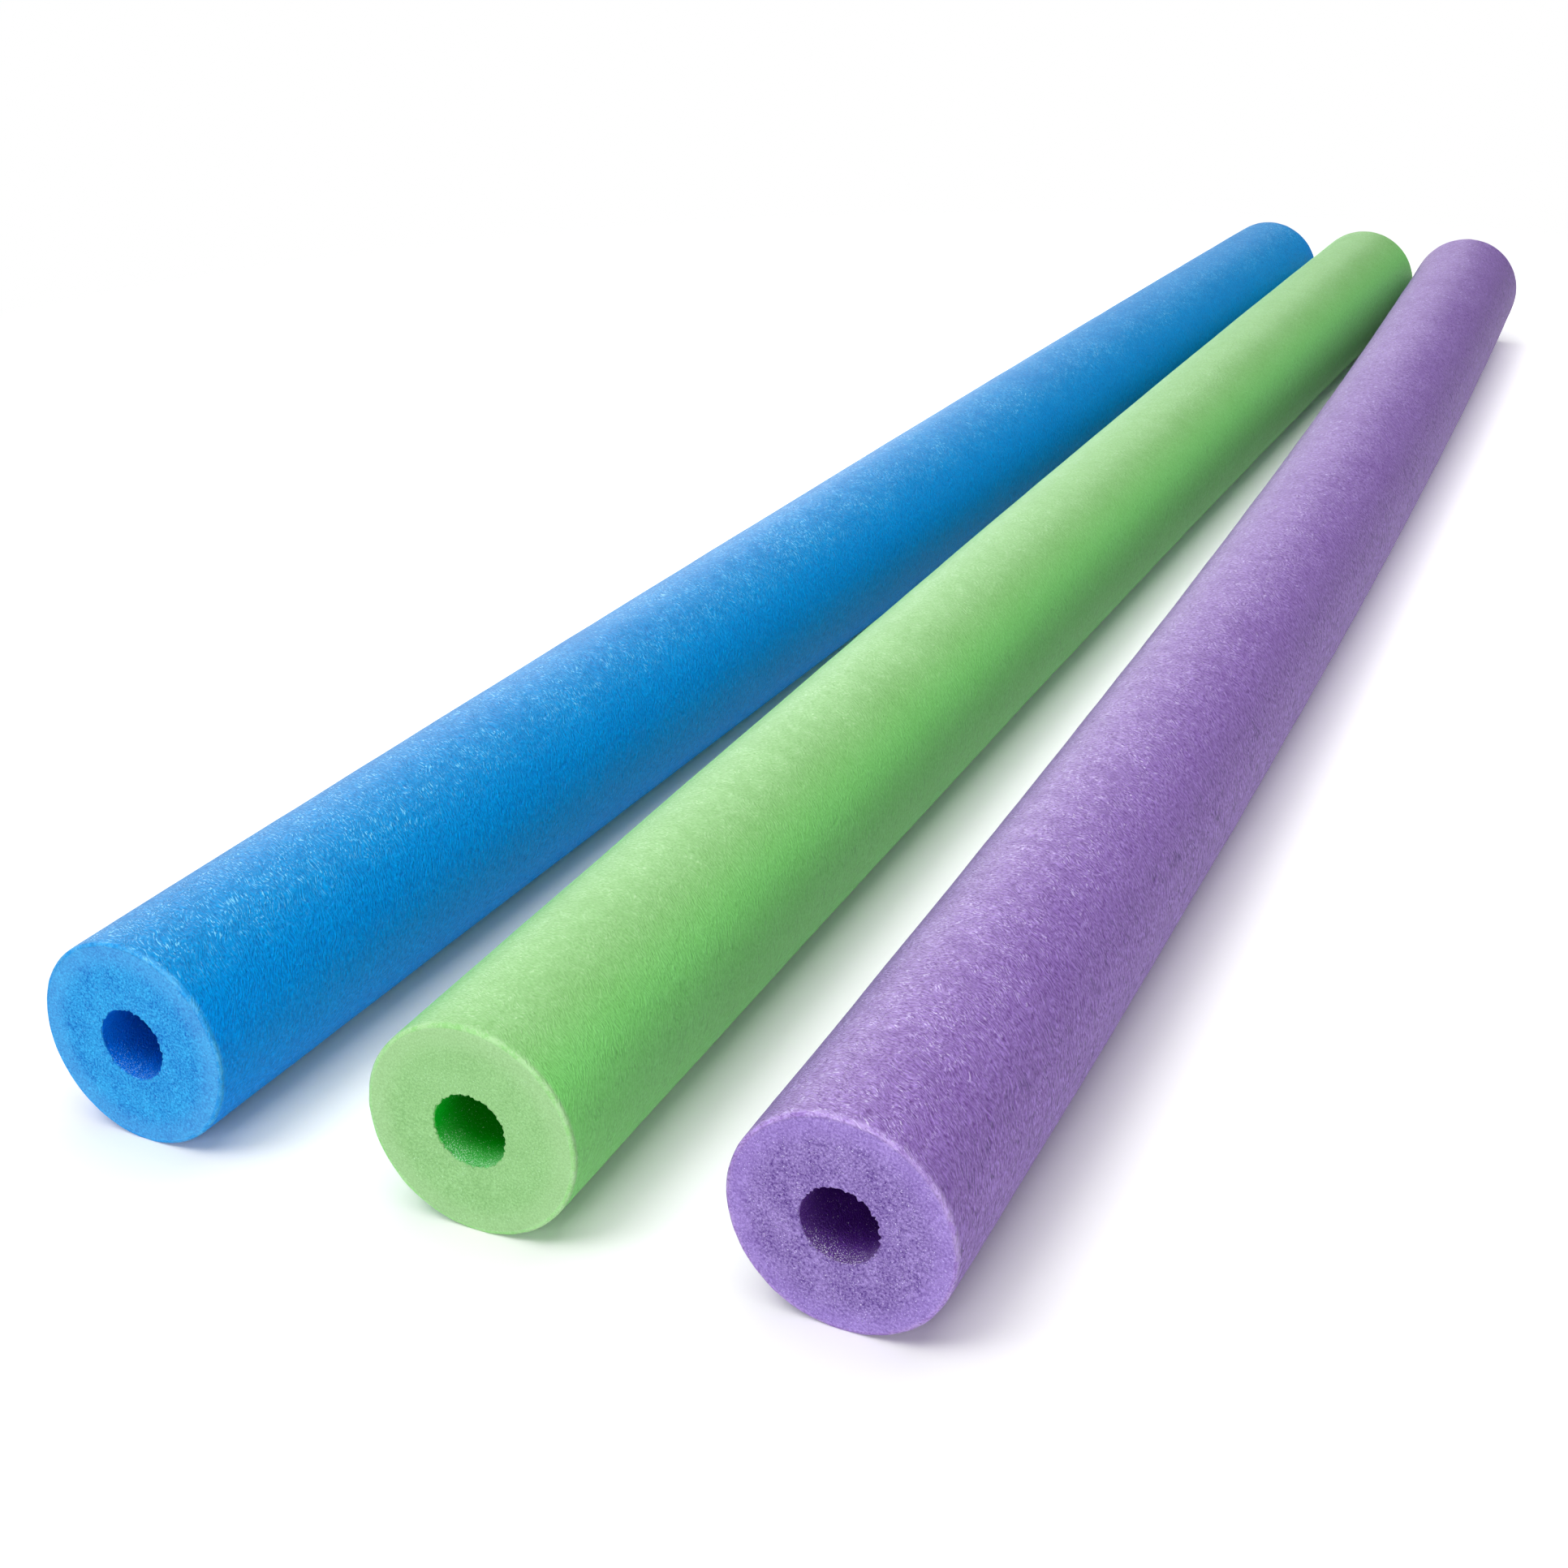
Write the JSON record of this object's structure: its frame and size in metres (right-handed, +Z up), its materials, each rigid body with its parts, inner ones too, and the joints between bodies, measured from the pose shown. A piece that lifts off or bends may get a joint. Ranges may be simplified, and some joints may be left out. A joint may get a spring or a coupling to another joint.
{
  "type": "pool noodle set",
  "caption": "Loose foam pool noodles in blue, green and purple, each a round tube with an open bore and knife-cut ends, lying side by side.",
  "frame": {"origin": "centre of the set's bounding box, on the floor that the noodles lie on", "axes": "+Y along the green noodle, from the near cut ends to the far ends; +X from the blue noodle to the purple one; +Z up"},
  "size_m": [0.3066, 1.2086, 0.0695],
  "materials": {
    "blue_foam": "matte",
    "green_foam": "matte",
    "purple_foam": "matte"
  },
  "bodies": {
    "green": {"green_noodle": "green_foam"},
    "blue": {"blue_noodle": "blue_foam"},
    "purple": {"purple_noodle": "purple_foam"}
  },
  "joints": [
    {"name": "blue_lift", "type": "slide", "parent": "green", "child": "blue", "axis": [0, 0, 1], "range_m": [0, 0.2]},
    {"name": "purple_lift", "type": "slide", "parent": "green", "child": "purple", "axis": [0, 0, 1], "range_m": [0, 0.2]}
  ]
}
